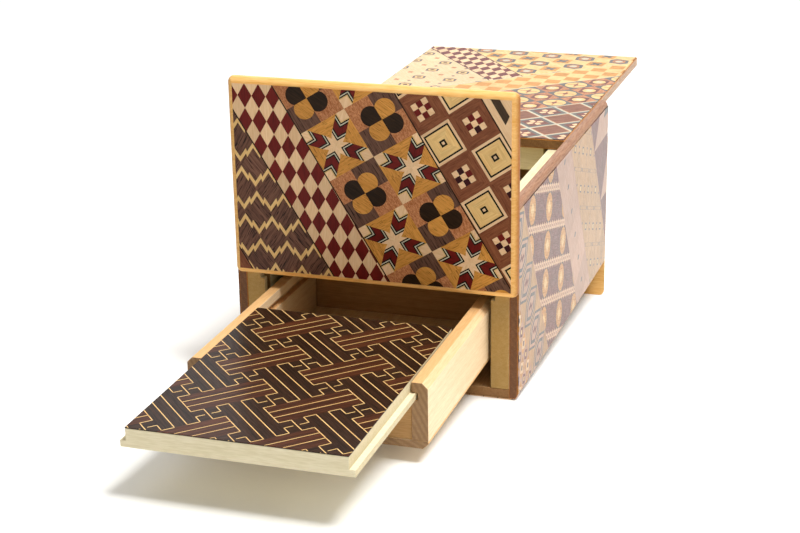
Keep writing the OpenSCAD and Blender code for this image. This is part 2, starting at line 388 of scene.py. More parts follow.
def dress_board(
    piece: bpy.types.Object, node: str, finish: WoodFinish, along: Along, arris_mm: float
) -> bpy.types.Object:
    """Gives a board its grain, its softened arrises, its wood and its place in the frame.

    The grain attribute is the vertex's place in millimetres, turned so that its first number runs
    along the fibres and moved by a random step, so that no two boards share one log.

    Args:
        piece: The board.
        node: The CAD node it stands for.
        finish: Its wood.
        along: The way its fibres run.
        arris_mm: Width of the sanded arris, or 0 for none.

    Returns:
        The same board.
    """
    mesh = piece.data
    rng = seeded(node)
    places = np.empty(len(mesh.vertices) * 3, np.float32)
    mesh.vertices.foreach_get("co", places)
    turned = places.reshape(-1, 3)[:, along.value] / MM + rng.uniform(-400, 400, 3)
    put_attribute(mesh, "grain", turned)
    put_attribute(mesh, "tone", np.full(len(mesh.vertices), rng.uniform(0.45, 0.55)))
    facing = np.empty(len(mesh.polygons) * 3, np.float32)
    mesh.polygons.foreach_get("normal", facing)
    facing = abs(facing.reshape(-1, 3)) ** 2
    put_attribute(mesh, "end", facing[:, along.value[0]], "FACE")
    put_attribute(mesh, "edge", facing[:, along.value[1]], "FACE")
    mesh.materials.clear()
    mesh.materials.append(finish.material())
    is_lacquered = finish.coat > 0.5
    if is_lacquered:
        mesh.materials.append(ARRIS.material())
    if arris_mm:
        arris = piece.modifiers.new("sanded_arris", "BEVEL")
        arris.width = arris_mm * MM
        arris.segments = 2
        arris.limit_method = "ANGLE"
        arris.angle_limit = math.radians(35)
        arris.harden_normals = True
        arris.material = int(is_lacquered)
    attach(piece, frame["nodes"][node]["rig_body"])
    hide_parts(node)
    LOG.info("%s stands for %s", piece.name, node)
    return piece


@dataclass(frozen=True)
class Board:
    """A board cut as its CAD node is, with merged faces and sanded arrises."""

    node: str
    finish: WoodFinish
    along: Along
    slot: str
    arris_mm: float = 0.3

    def build(self) -> bpy.types.Object:
        """Copies the node's shape, merges its loose triangles to whole faces and dresses it."""
        mesh = bpy.data.meshes.new(f"{self.node}_wood")
        shape = bmesh.new()
        shape.from_mesh(frame["nodes"][self.node].data)
        bmesh.ops.remove_doubles(shape, verts=shape.verts[:], dist=0.002 * MM)
        bmesh.ops.dissolve_limit(
            shape, angle_limit=math.radians(0.4), verts=shape.verts[:], edges=shape.edges[:]
        )
        shape.to_mesh(mesh)
        shape.free()
        mesh.shade_smooth()
        mesh.set_sharp_from_angle(angle=math.radians(35))
        piece = put_in_scene(f"{self.node}_wood", mesh)
        return dress_board(piece, self.node, self.finish, self.along, self.arris_mm)


@dataclass(frozen=True)
class PanelBoard:
    """An end panel's board, whose edges and corners are rounded over its whole thickness."""

    node: str
    veneer: str
    faces_front: bool
    corner_steps: int = 7
    edge_steps: int = 9

    def build(self) -> bpy.types.Object:
        """Lofts rounded rectangles from the veneer's outline out to the back face.

        Ring t goes from 0 to a quarter turn. Its corner radius is the edge radius times sin t, and
        it lies the board's thickness times 1 - cos t behind the veneer, so the edge is a quarter of
        an ellipse and each corner is part of a ball.

        Returns:
            The board.
        """
        low, high = (np.array(corner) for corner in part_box(self.node))
        veneer_low, veneer_high = (np.array(corner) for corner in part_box(self.veneer))
        middle, half = (veneer_low + veneer_high) / 2, (veneer_high - veneer_low) / 2
        radius = high[0] - veneer_high[0]
        front_y, back_y = (low[1], high[1]) if self.faces_front else (high[1], low[1])
        turn = np.linspace(0, math.pi / 2, self.edge_steps)
        ring_radius = np.maximum(radius * np.sin(turn), 0.12 * MM)
        ring_y = front_y + (back_y - front_y) * (1 - np.cos(turn))
        quarter = np.linspace(0, math.pi / 2, self.corner_steps)
        angles = (quarter[None, :] + np.arange(4)[:, None] * math.pi / 2).ravel()
        signs = np.repeat([(1, 1), (-1, 1), (-1, -1), (1, -1)], self.corner_steps, axis=0)
        count = len(angles)
        rings = np.empty((self.edge_steps, count, 3))
        rings[..., 0] = middle[0] + signs[:, 0] * half[0] + ring_radius[:, None] * np.cos(angles)
        rings[..., 1] = ring_y[:, None]
        rings[..., 2] = middle[2] + signs[:, 1] * half[2] + ring_radius[:, None] * np.sin(angles)
        step, point = np.meshgrid(np.arange(self.edge_steps - 1), np.arange(count), indexing="ij")
        after = (point + 1) % count
        here, there = step * count, (step + 1) * count
        quads = np.stack([here + point, here + after, there + after, there + point], -1).reshape(-1, 4)
        front = np.arange(count)[::-1]
        back = (self.edge_steps - 1) * count + np.arange(count)
        faces = [*quads[:, ::-1].tolist(), front[::-1].tolist(), back[::-1].tolist()]
        mesh = bpy.data.meshes.new(f"{self.node}_wood")
        mesh.from_pydata(rings.reshape(-1, 3).tolist(), [], faces)
        turned = bmesh.new()
        turned.from_mesh(mesh)
        bmesh.ops.recalc_face_normals(turned, faces=turned.faces[:])
        turned.to_mesh(mesh)
        turned.free()
        mesh.shade_smooth()
        mesh.set_sharp_from_angle(angle=math.radians(35))
        piece = put_in_scene(f"{self.node}_wood", mesh)
        return dress_board(piece, self.node, PANEL_EDGE, Along.WIDTH, 0.0)


# ---- Marquetry ----


class Side(Enum):
    """Which way a veneer faces: its right, its up and its outward direction."""

    FRONT = ((1, 0, 0), (0, 0, 1))
    REAR = ((-1, 0, 0), (0, 0, 1))
    RIGHT = ((0, 1, 0), (0, 0, 1))
    LEFT = ((0, -1, 0), (0, 0, 1))
    TOP = ((1, 0, 0), (0, 1, 0))
    UNDER = ((-1, 0, 0), (0, 1, 0))


@dataclass
class Sheet:
    """A marquetry sheet: wooden tiles on one face of the box, each one a closed thin block.

    Tiles are laid flat in millimetres from the lower left corner of the veneer, cut to their band
    and to the sheet, and then turned to the face that the sheet covers.
    """

    node: str
    side: Side
    slot: str = "mosaic_veneer"
    # Lowers every tile's tone on the sheet: painted shade that darkens a whole face
    shade: float = 0.0
    step_mm: float = 0.02
    finishes: list[WoodFinish] = field(default_factory=list)
    batches: list[dict] = field(default_factory=list)
    frame: list[tuple[np.ndarray, np.ndarray]] = field(default_factory=list)

    def __post_init__(self) -> None:
        """Finds the sheet's size from its node and starts its random tones."""
        low, high = (np.array(corner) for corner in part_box(self.node))
        self.right, self.up = (np.array(axis, float) for axis in self.side.value)
        self.out = np.cross(self.right, self.up)
        size = (high - low) / MM
        self.width = float(abs(self.right) @ size)
        self.height = float(abs(self.up) @ size)
        self.thickness = float(abs(self.out) @ size)
        middle = (low + high) / 2
        self.corner = (
            middle
            - self.right * self.width / 2 * MM
            - self.up * self.height / 2 * MM
            + self.out * self.thickness / 2 * MM
        )
        self.rng = seeded(self.node)
        self.whole = bmesh.new()

    def lay(
        self,
        outline: np.ndarray,
        centres: np.ndarray,
        axes: np.ndarray,
        wood: WoodFinish,
        grain: np.ndarray | Point = (0.0, 1.0),
        tone: np.ndarray | float = 0.5,
        vary: float = 0.09,
        under: bool = False,
    ) -> None:
        """Lays one tile shape at many places at once.

        A corner is its centre plus the outline's two numbers times the two axes. The grain
        attribute is that place turned to the fibres' direction, plus a random step for each tile.

        Args:
            outline: The tile's corners in cell units, shape (corners, 2).
            centres: Where the tiles lie, shape (count, 2).
            axes: The cell's two half axes as rows.
            wood: The tiles' wood.
            grain: The direction of the fibres in cell units.
            tone: 0 to 1 from dark to pale, for all tiles or for each.
            vary: How far the tone of one tile strays from that.
            under: Whether other tiles are set into these, which then lie a hair lower.
        """
        shape = np.asarray(outline, float) @ axes
        ahead = np.roll(shape, -1, axis=0)
        if np.sum(shape[:, 0] * ahead[:, 1] - ahead[:, 0] * shape[:, 1]) < 0:
            shape = shape[::-1]
        centres = np.asarray(centres, float).reshape(-1, 2)
        count, corners = len(centres), len(shape)
        places = centres[:, None, :] + shape[None, :, :]
        fibre = np.asarray(grain, float) @ axes
        fibre /= np.hypot(*fibre)
        steps = self.rng.uniform(-300, 300, (count, 1, 3))
        along = places @ fibre
        across = places @ np.array([-fibre[1], fibre[0]])
        grains = np.stack([along, across, np.zeros_like(along)], -1) + steps
        # The sheet's shade is taken off every tile's tone here: painted shade
        tones = np.clip(tone - self.shade + self.rng.normal(0, vary, count) * np.ones(count), 0, 1)
        if wood not in self.finishes:
            self.finishes.append(wood)
        self.batches.append(
            {
                "places": places.reshape(-1, 2),
                "grain": grains.reshape(-1, 3),
                "tone": np.repeat(tones, corners),
                "height": np.full(count * corners, -self.step_mm if under else 0.0),
                "faces": np.arange(count * corners).reshape(count, corners),
                "wood": np.full(count, self.finishes.index(wood)),
            }
        )

    def trim(self, cuts: list[tuple[np.ndarray, np.ndarray]]) -> None:
        """Cuts the tiles laid since the last trim to a band and to the sheet's own edges.

        Args:
            cuts: A point on each cut, and the direction that is cut away.
        """
        if not self.batches:
            return
        starts = np.cumsum([0] + [len(b["places"]) for b in self.batches[:-1]])
        flat = np.concatenate([b["places"] for b in self.batches])
        heights = np.concatenate([b["height"] for b in self.batches])
        faces = [f for s, b in zip(starts, self.batches) for f in (b["faces"] + s).tolist()]
        mesh = bpy.data.meshes.new("band")
        mesh.from_pydata(np.column_stack([flat, heights]).tolist(), [], faces)
        mesh.polygons.foreach_set(
            "material_index", np.concatenate([b["wood"] for b in self.batches]).astype(np.int32)
        )
        put_attribute(mesh, "grain", np.concatenate([b["grain"] for b in self.batches]))
        put_attribute(mesh, "tone", np.concatenate([b["tone"] for b in self.batches]))
        band = bmesh.new()
        band.from_mesh(mesh)
        edges = [
            (np.array([0.0, 0.0]), np.array([-1.0, 0.0])),
            (np.array([0.0, 0.0]), np.array([0.0, -1.0])),
            (np.array([self.width, 0.0]), np.array([1.0, 0.0])),
            (np.array([0.0, self.height]), np.array([0.0, 1.0])),
        ]
        for point, away in [*cuts, *self.frame, *edges]:
            bmesh.ops.bisect_plane(
                band,
                geom=band.verts[:] + band.edges[:] + band.faces[:],
                dist=1e-4,
                plane_co=(*point, 0.0),
                plane_no=(*away, 0.0),
                clear_outer=True,
            )
        band.to_mesh(mesh)
        band.free()
        self.whole.from_mesh(mesh)
        bpy.data.meshes.remove(mesh)
        self.batches.clear()

    def finish(self, name: str) -> bpy.types.Object:
        """Turns the sheet to its face, gives every tile its thickness and puts it in the frame.

        Args:
            name: The piece's name.

        Returns:
            The sheet.
        """
        self.trim([])
        mesh = bpy.data.meshes.new(name)
        self.whole.to_mesh(mesh)
        self.whole.free()
        turn = Matrix.Identity(4)
        for column, axis in enumerate((self.right, self.up, self.out)):
            for row in range(3):
                turn[row][column] = axis[row] * MM
        turn.translation = Vector(self.corner)
        mesh.transform(turn)
        for wood in self.finishes:
            mesh.materials.append(wood.material())
        piece = put_in_scene(name, mesh)
        block = piece.modifiers.new("tile_thickness", "SOLIDIFY")
        block.thickness = (self.thickness - 2 * self.step_mm) * MM
        block.offset = -1
        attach(piece, frame["nodes"][self.node]["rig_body"])
        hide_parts(self.node)
        LOG.info("%s: %d tiles of %d woods", name, len(mesh.polygons), len(self.finishes))
        return piece


SQUARE = np.array([(-1, -1), (1, -1), (1, 1), (-1, 1)], float)
DIAMOND = np.array([(1, 0), (0, 1), (-1, 0), (0, -1)], float)
QUARTER_TURN = np.array([(0, 1), (-1, 0)], float)


def quarter_turns(outline: list[Point] | np.ndarray, turns: int) -> np.ndarray:
    """An outline turned by a number of quarter turns about the cell's centre."""
    return np.asarray(outline, float) @ np.linalg.matrix_power(QUARTER_TURN, turns)


def ring_sides(outer: float, inner: float) -> list[tuple[np.ndarray, np.ndarray]]:
    """The four mitred sides of a square ring.

    Args:
        outer: Half the ring's outer size in cell units.
        inner: Half its inner size.

    Returns:
        Each side's outline and the direction of its fibres, which run along it.
    """
    side = [(-outer, -outer), (outer, -outer), (inner, -inner), (-inner, -inner)]
    return [(quarter_turns(side, k), quarter_turns([(1, 0)], k)[0]) for k in range(4)]


def lattice(
    anchor: Point, first: np.ndarray, second: np.ndarray, columns: range, rows: range
) -> tuple[np.ndarray, np.ndarray]:
    """Places on a lattice.

    Args:
        anchor: The place with both numbers 0.
        first: Step from one column to the next.
        second: Step from one row to the next.
        columns: Column numbers.
        rows: Row numbers.

    Returns:
        The places, shape (count, 2), and their column and row numbers.
    """
    i, j = (n.ravel() for n in np.meshgrid(list(columns), list(rows), indexing="ij"))
    places = np.asarray(anchor) + i[:, None] * np.asarray(first) + j[:, None] * np.asarray(second)
    return places, np.stack([i, j], -1)


@dataclass(frozen=True)
class Slant:
    """The slant that every band of a sheet follows, falling to the right.

    A place's number across the bands is its distance from the lower left corner along the
    direction square to the slant.
    """

    angle: float = 58.45
    line_mm: float = 0.5

    @property
    def down(self) -> np.ndarray:
        """Unit direction along a band, down and to the right."""
        return np.array([math.cos(math.radians(self.angle)), -math.sin(math.radians(self.angle))])

    @property
    def over(self) -> np.ndarray:
        """Unit direction across a band, up and to the right."""
        return np.array([math.sin(math.radians(self.angle)), math.cos(math.radians(self.angle))])

    def across(self, place: Point) -> float:
        """The number across the bands of a place."""
        return float(np.dot(self.over, place))

    def cuts(self, low: float, high: float) -> list[tuple[np.ndarray, np.ndarray]]:
        """The two cuts that leave the band between two numbers, less half a line each side."""
        half = self.line_mm / 2
        return [(self.over * (low + half), -self.over), (self.over * (high - half), self.over)]

    def rule(self, sheet: Sheet, number: float, wood: WoodFinish, width: float | None = None) -> None:
        """Lays a thin line of wood along the slant.

        Args:
            sheet: The sheet.
            number: Where its middle lies across the bands.
            wood: Its wood.
            width: Its width in millimetres, the slant's own if left out.
        """
        axes = np.stack([self.down * 400, self.over * (width or self.line_mm) / 2])
        sheet.lay(SQUARE, self.over * number, axes, wood, (1, 0), vary=0)
        sheet.trim([])


@dataclass(frozen=True)
class Harlequin:
    """Upright diamonds in rows of two woods by turns."""

    anchor: Point
    odd: WoodFinish = MAGNOLIA
    even: WoodFinish = RED_DYED
    half_w: float = 2.75
    half_h: float = 4.63
    odd_tones: tuple[float, ...] = (0.4, 0.58, 0.55, 0.42)
    even_tones: tuple[float, ...] = (0.58, 0.44, 0.4, 0.6)

    def lay(self, sheet: Sheet, slant: Slant, low: float, high: float) -> None:
        """Lays the diamonds and cuts them to the band.

        Args:
            sheet: The sheet.
            slant: The bands' slant.
            low: Where the band begins.
            high: Where it ends.
        """
        axes = np.diag([self.half_w, self.half_h])
        reach = int(2.2 * (sheet.width + sheet.height) / self.half_w)
        steps = range(-reach // 2, reach // 2)
        places, at = lattice(
            self.anchor, (self.half_w, self.half_h), (self.half_w, -self.half_h), steps, steps
        )
        number = places @ slant.over
        columns = len(self.odd_tones)
        share = (number - low) / (high - low)
        inside = (share > -0.2) & (share < 1.2)
        column = np.clip(share * columns, 0, columns - 1).astype(int)
        odd = (at[:, 0] - at[:, 1]) % 2 == 1
        for mask, wood, tones in (
            (inside & odd, self.odd, self.odd_tones),
            (inside & ~odd, self.even, self.even_tones),
        ):
            sheet.lay(DIAMOND, places[mask], axes, wood, (0, 1), np.array(tones)[column[mask]], 0.04)
        sheet.trim(slant.cuts(low, high))


@dataclass(frozen=True)
class Lightning:
    """Dark diamonds parted by pale zigzag lines, each slope broken by one notch."""

    peak: Point
    half_period: float = 5.31
    row_step: float = 10.8
    fall: float = 5.75
    thick: float = 2.05
    ground: WoodFinish = CHINABERRY
    bolt: WoodFinish = SPINDLE

    def lay(self, sheet: Sheet, slant: Slant, low: float, high: float) -> None:
        """Lays the ground diamonds and sets the zigzag lines into them.

        A period goes from valley to peak to valley. Each slope falls, steps back up at its middle
        and falls on, and the line is as thick as its upper edge moved down.

        Args:
            sheet: The sheet.
            slant: The bands' slant.
            low: Where the band begins.
            high: Where it ends.
        """
        reach = int(2 * (sheet.width + sheet.height) / self.row_step)
        places, at = lattice(
            self.peak,
            slant.down * self.row_step,
            (-2 * self.half_period, 0),
            range(-reach, reach),
            range(-reach, reach),
        )
        number = places @ slant.over
        near = (number > low - 9) & (number < high + 9)
        places, at = places[near], at[near]
        to_right = slant.down * self.row_step
        to_left = to_right - (2 * self.half_period, 0)
        cell = np.array([(0, 0), to_right, to_right + to_left, to_left])
        turns = (at[:, 0] + at[:, 1]) % 3
        for turn, grain in enumerate([to_left, (5.3, -6.5), (-5.3, -7.9)]):
            sheet.lay(cell, places[turns == turn], np.eye(2), self.ground, grain, 0.5, 0.12, under=True)
        slope = np.array([(0, 0), (2.5, -3.75), (2.95, -2.35), (self.half_period, -self.fall)])
        upper = np.concatenate([slope[::-1] * (-1, 1), slope[1:]])
        line = np.concatenate([upper, upper[::-1] - (0, self.thick)])
        sheet.lay(line, places, np.eye(2), self.bolt, (0.5, 0.86), 0.5, 0.03)
        sheet.trim(slant.cuts(low, high))


@dataclass(frozen=True)
class StarAndClover:
    """Squares of an eight-pointed star and of a four-leaved clover by turns."""

    star: Point
    along: Point = (10.8, -17.05)
    across: Point = (17.8, 11.0)
    chevrons: tuple[tuple[float, float, WoodFinish], ...] = (
        (0.135, 0.184, INK),
        (0.184, 0.221, CHALK),
        (0.221, 0.27, INK),
        (0.27, 0.485, RED_DYED),
        (0.485, 0.534, INK),
        (0.534, 0.571, CHALK),
        (0.571, 0.62, INK),
    )
    arm: float = 0.36
    notch: float = 0.3
    leaf: float = 0.53
    bulge: float = 0.295
    leaf_round: float = 0.375

    def lay(self, sheet: Sheet, slant: Slant, low: float, high: float) -> None:
        """Lays both kinds of square as a chequer and cuts them to the band.

        Args:
            sheet: The sheet.
            slant: The bands' slant.
            low: Where the band begins.
            high: Where it ends.
        """
        first, second = np.array(self.along), np.array(self.across)
        rows = int(math.ceil((high - low) / np.hypot(*second))) + 1
        places, at = lattice(self.star, first, second, range(-16, 17), range(-rows, rows + 1))
        number = places @ slant.over
        reach = np.hypot(*second) * 0.75
        near = (number > low - reach) & (number < high + reach)
        places, at = places[near], at[near]
        odd = (at[:, 0] + at[:, 1]) % 2 == 1
        axes = np.stack([first / 2, second / 2])
        self._stars(sheet, places[~odd], axes)
        self._clovers(sheet, places[odd], axes)
        sheet.trim(slant.cuts(low, high))

    def _stars(self, sheet: Sheet, centres: np.ndarray, axes: np.ndarray) -> None:
        """Lays a star's four corners, each a pale square, an arm of chevrons and two half triangles.

        In a corner's own quarter the chevrons are L shapes between two lines of equal smaller
        coordinate, and the arm ends where the two coordinates differ by its half width.

        Args:
            sheet: The sheet.
            centres: The squares' centres.
            axes: The half axes of a square.
        """
        arm, inner, outer = self.arm, self.chevrons[0][0], self.chevrons[-1][1]
        shade = 0.035
        heart = [(0, 0), (self.notch, 0), (inner + arm, inner), (inner, inner), (inner, inner + arm)]
        heart.append((0, self.notch))
        low_side = [(self.notch, 0), (1, 0), (1, outer), (outer + arm, outer), (inner + arm, inner)]
        high_side = [(y, x) for x, y in low_side[::-1]]
        corner = [(outer + shade, outer + shade), (1, outer + shade), (1, 1), (outer + shade, 1)]
        brim = [(outer, outer), (1, outer), (1, outer + shade), corner[0], (outer + shade, 1), (outer, 1)]
        for k in range(4):
            diagonal = quarter_turns([(1, 1)], k)[0]
            for low, high, wood in self.chevrons:
                bent = [(low, low), (low + arm, low), (high + arm, high), (high, high)]
                bent += [(high, high + arm), (low, low + arm)]
                sheet.lay(quarter_turns(bent, k), centres, axes, wood, diagonal, 0.5, 0.06)
            sheet.lay(quarter_turns(heart, k), centres, axes, MAGNOLIA, diagonal, 0.55, 0.03)
            sheet.lay(quarter_turns(corner, k), centres, axes, MAGNOLIA, diagonal, 0.5, 0.07)
            sheet.lay(quarter_turns(brim, k), centres, axes, SPINDLE, diagonal, 0.3, 0.04)
            along_low, along_high = quarter_turns([(0, 1), (1, 0)], k)
            sheet.lay(quarter_turns(low_side, k), centres, axes, LACQUER_TREE, along_low, 0.52, 0.05)
            sheet.lay(quarter_turns(high_side, k), centres, axes, LACQUER_TREE, along_high, 0.52, 0.05)

    def _clovers(self, sheet: Sheet, centres: np.ndarray, axes: np.ndarray) -> None:
        """Lays a clover's four quarters: a leaf with a round end, let into a square corner.

        The leaf is bounded by the two axes and by the circle through their ends at the leaf's
        length, whose centre lies on the diagonal.

        Args:
            sheet: The sheet.
            centres: The squares' centres.
            axes: The half axes of a square.
        """
        middle = self.bulge
        reach = self.leaf - middle
        radius = math.hypot(reach, middle)
        start = -math.atan2(middle, reach)
        turn = np.linspace(start, math.pi / 2 - start, 22)
        arc = middle + radius * np.stack([np.cos(turn), np.sin(turn)], -1)
        leaf = np.concatenate([[(0, 0)], arc])
        ground = np.concatenate([[(1, 0), (1, 1), (0, 1)], arc[::-1]])
        for k in range(4):
            dark = k % 2 == 0
            leaf_wood, ground_wood = (BOG_WOOD, CHERRY) if dark else (LACQUER_TREE, WALNUT)
            sheet.lay(quarter_turns(leaf, k), centres, axes, leaf_wood, (0.9, 0.45), 0.5, 0.05)
            sheet.lay(quarter_turns(ground, k), centres, axes, ground_wood, (1, 0), 0.5, 0.08)


@dataclass(frozen=True)
class TargetAndChequer:
    """Small squares: rings of pale wood round a dot, and brown squares round a chequer of nine."""

    target: Point
    along: Point = (7.5, -11.77)
    across: Point = (11.5, 7.9)
    rings: tuple[tuple[float, float, WoodFinish], ...] = (
        (1.0, 0.92, ZELKOVA),
        (0.92, 0.78, MAGNOLIA),
        (0.78, 0.69, INK),
        (0.69, 0.51, SPINDLE),
        (0.51, 0.34, SPINDLE),
        (0.34, 0.175, SPINDLE),
        (0.175, 0.075, INK),
    )
    chequer: float = 0.484

    def lay(self, sheet: Sheet, slant: Slant, low: float, high: float) -> None:
        """Lays both kinds of square by turns and cuts them to the band.

        Args:
            sheet: The sheet.
            slant: The bands' slant.
            low: Where the band begins.
            high: Where it ends.
        """
        first, second = np.array(self.along), np.array(self.across)
        places, at = lattice(self.target, first, second, range(-24, 25), range(-3, 5))
        number = places @ slant.over
        near = (number > low - 9) & (number < high + 9)
        places, at = places[near], at[near]
        odd = (at[:, 0] + at[:, 1]) % 2 == 1
        axes = np.stack([first / 2, second / 2])
        for outer, inner, wood in self.rings:
            for outline, fibres in ring_sides(outer, inner):
                sheet.lay(outline, places[~odd], axes, wood, fibres, 0.5, 0.05)
        sheet.lay(SQUARE * self.rings[-1][1], places[~odd], axes, MAGNOLIA, (1, 0))
        for outline, fibres in ring_sides(1.0, self.chequer):
            sheet.lay(outline, places[odd], axes, ZELKOVA, fibres, 0.5, 0.05)
        self._nine(sheet, places[odd], axes)
        sheet.trim(slant.cuts(low, high))

    def _nine(self, sheet: Sheet, centres: np.ndarray, axes: np.ndarray) -> None:
        """Lays three rows of three small squares: pale ones, with red or nearly black ones between."""
        third = self.chequer / 3
        for column in (-1, 0, 1):
            for row in (-1, 0, 1):
                middles = centres + np.array([column, row]) * 2 * third @ axes
                if (column + row) % 2 == 0:
                    sheet.lay(SQUARE * third, middles, axes, MAGNOLIA, (1, 1), 0.52, 0.06)
                    continue
                is_dark = self._nearly_black(sheet, len(middles), column, row)
                for mask, wood in ((is_dark, RED_BLACK), (~is_dark, RED_DYED)):
                    sheet.lay(SQUARE * third, middles[mask], axes, wood, (1, 0), 0.5, 0.08)

    @staticmethod
    def _nearly_black(sheet: Sheet, count: int, column: int, row: int) -> np.ndarray:
        """Chooses which of the small squares are nearly black."""
        return sheet.rng.uniform(0, 1, count) < (0.75 if column > row else 0.35)


@dataclass(frozen=True)
class DarkPickets:
    """Pale wood with a row of dark slanted pickets, cut off on the other slant."""

    end: Point
    long: float = 24.0
    gap: float = 5.0

    def lay(self, sheet: Sheet, slant: Slant, low: float, high: float) -> None:
        """Lays the pale ground and lets the pickets into it.

        A picket runs from its lower end up the slant; its two ends fall to the left.

        Args:
            sheet: The sheet.
            slant: The bands' slant.
            low: Where the band begins.
            high: Where it ends.
        """
        ground = np.stack([slant.down * 200, slant.over * 60])
        middle = slant.over * (low + high) / 2
        sheet.lay(SQUARE, middle, ground, MAGNOLIA, (1, 0), 0.5, 0, under=True)
        back = -slant.down * self.long
        slope = np.array([-1.45, -3.2])
        picket = np.array([(0, 0), back, back + slope, slope])
        pitch = slant.down * (self.long + self.gap)
        places, _ = lattice(self.end, pitch, (0, 0), range(-5, 6), range(1))
        sheet.lay(picket, places, np.eye(2), PICKET, tuple(slant.down), 0.5, 0.03)
        sheet.trim(slant.cuts(low, high))


@dataclass(frozen=True)
class Plain:
    """A band of one wood."""

    wood: WoodFinish
    tone: float = 0.5

    def lay(self, sheet: Sheet, slant: Slant, low: float, high: float) -> None:
        """Lays one long tile and cuts it to the band."""
        axes = np.stack([slant.down * 400, slant.over * 300])
        sheet.lay(SQUARE, slant.over * (low + high) / 2, axes, self.wood, (1, 0), self.tone, 0)
        sheet.trim(slant.cuts(low, high))


Motif = tuple[tuple[str, float, float, "WoodFinish"], ...]


@dataclass(frozen=True)
class Cells:
    """Cells of one or two designs, laid side by side along and across a band.

    A design is its ground and the shapes let into it. Each shape has its kind, its size in half
    cells, its shift along the cell's diagonal in half cells, and its wood.
    """

    size: float
    designs: tuple[tuple[WoodFinish, Motif], ...]
    rows: int = 0
    phase: float = 0.0

    SHAPES = {
        "square": SQUARE,
        "diamond": DIAMOND,
        "disc": np.stack([np.cos(np.arange(16) * math.pi / 8), np.sin(np.arange(16) * math.pi / 8)], -1),
        "hexagon": np.array([(0, 1), (-0.95, 0.35), (-0.95, -0.35), (0, -1), (0.95, -0.35), (0.95, 0.35)]),
        "plus": np.array(
            [(-0.3, -1), (0.3, -1), (0.3, -0.3), (1, -0.3), (1, 0.3), (0.3, 0.3)]
            + [(0.3, 1), (-0.3, 1), (-0.3, 0.3), (-1, 0.3), (-1, -0.3), (-0.3, -0.3)]
        ),
        "saltire": np.array(
            [(0, 0.2), (-0.8, 1), (-1, 0.8), (-0.2, 0), (-1, -0.8), (-0.8, -1)]
            + [(0, -0.2), (0.8, -1), (1, -0.8), (0.2, 0), (1, 0.8), (0.8, 1)]
        ),
        "bar": np.array([(-1, -0.14), (1, -0.14), (1, 0.14), (-1, 0.14)]),
    }

    def lay(self, sheet: Sheet, slant: Slant, low: float, high: float) -> None:
        """Lays each cell's ground and builds its motif up on it, a hair higher for each shape.

        Args:
            sheet: The sheet.
            slant: The bands' slant.
            low: Where the band begins.
            high: Where it ends.
        """
        count = self.rows or max(1, round((high - low) / self.size))
        across = (high - low) / count
        first, second = slant.down * self.size, slant.over * across
        middle = float(slant.down @ (sheet.width / 2, sheet.height / 2))
        anchor = slant.over * (low + across / 2) + slant.down * (self.phase + middle)
        reach = int((sheet.width + sheet.height) / 1.8 / self.size) + 1
        places, at = lattice(anchor, first, second, range(-reach, reach + 1), range(count))
        axes = np.stack([first / 2, second / 2])
        turn = at.sum(1) % len(self.designs)
        for number, (ground, motif) in enumerate(self.designs):
            lay_motif(sheet, places[turn == number], axes, ground, motif)
        sheet.trim(slant.cuts(low, high))


def lay_motif(
    sheet: Sheet, places: np.ndarray, axes: np.ndarray, ground: WoodFinish, motif: Motif
) -> None:
    """Lays cells of one design: the ground first, then each shape a hair higher.

    Args:
        sheet: The sheet.
        places: The cells' centres.
        axes: The half axes of a cell.
        ground: The ground's wood.
        motif: The shapes, from the lowest to the highest.
    """
    sheet.lay(SQUARE, places, axes, ground, (1, 0), 0.5, 0.07, under=True)
    for level, (shape, size, aside, wood) in enumerate(motif):
        shift = np.array([aside, aside]) @ axes
        sheet.lay(Cells.SHAPES[shape] * size, places + shift, axes, wood, (1, 0), 0.5, 0.05)
        sheet.batches[-1]["height"] += (level + 1) * 0.003 - sheet.step_mm


@dataclass(frozen=True)
class Medallions:
    """Dark rows of pale medallions and dark diamonds, with beaded pale lines between the rows."""

    anchor: Point
    along: Point = (26.6, -6.8)
    down: Point = (-2.4, -14.6)

    def lay(self, sheet: Sheet, slant: Slant, low: float, high: float) -> None:
        """Lays the rows and cuts them to the band.

        Args:
            sheet: The sheet.
            slant: The bands' slant.
            low: Where the band begins.
            high: Where it ends.
        """
        along, down = np.array(self.along), np.array(self.down)
        places, _ = lattice(self.anchor, along, down, range(-7, 8), range(-9, 10))
        axes = np.stack([along / 4, down / 2])
        medallion = (
            ("hexagon", 0.98, 0.0, CHINABERRY),
            ("disc", 0.9, 0.0, WALNUT),
            ("disc", 0.76, 0.0, LACQUER_TREE),
            ("diamond", 0.4, 0.0, SPINDLE),
        )
        leaf = (("diamond", 0.95, 0.0, RED_DYED), ("diamond", 0.78, 0.0, PLUM))
        lay_motif(sheet, places, axes, PLUM, medallion)
        lay_motif(sheet, places + along / 2, axes, PLUM, leaf)
        beads, _ = lattice(np.array(self.anchor) + down / 2, along / 8, down, range(-56, 57), range(-9, 10))
        line = np.stack([along / 16, down / 7])
        sheet.lay(SQUARE * (1, 0.62), beads, line, PINK_MAPLE, (1, 0), 0.6, 0.06)
        sheet.lay(DIAMOND * (0.62, 1), beads, line, MAGNOLIA, (1, 0), 0.6, 0.03)
        sheet.lay(SQUARE * (0.3, 0.24), beads, line, PLUM, (1, 0), 0.5, 0.06)
        for level, batch in enumerate(sheet.batches[-3:]):
            batch["height"] += level * 0.003 - 0.004
        sheet.trim(slant.cuts(low, high))


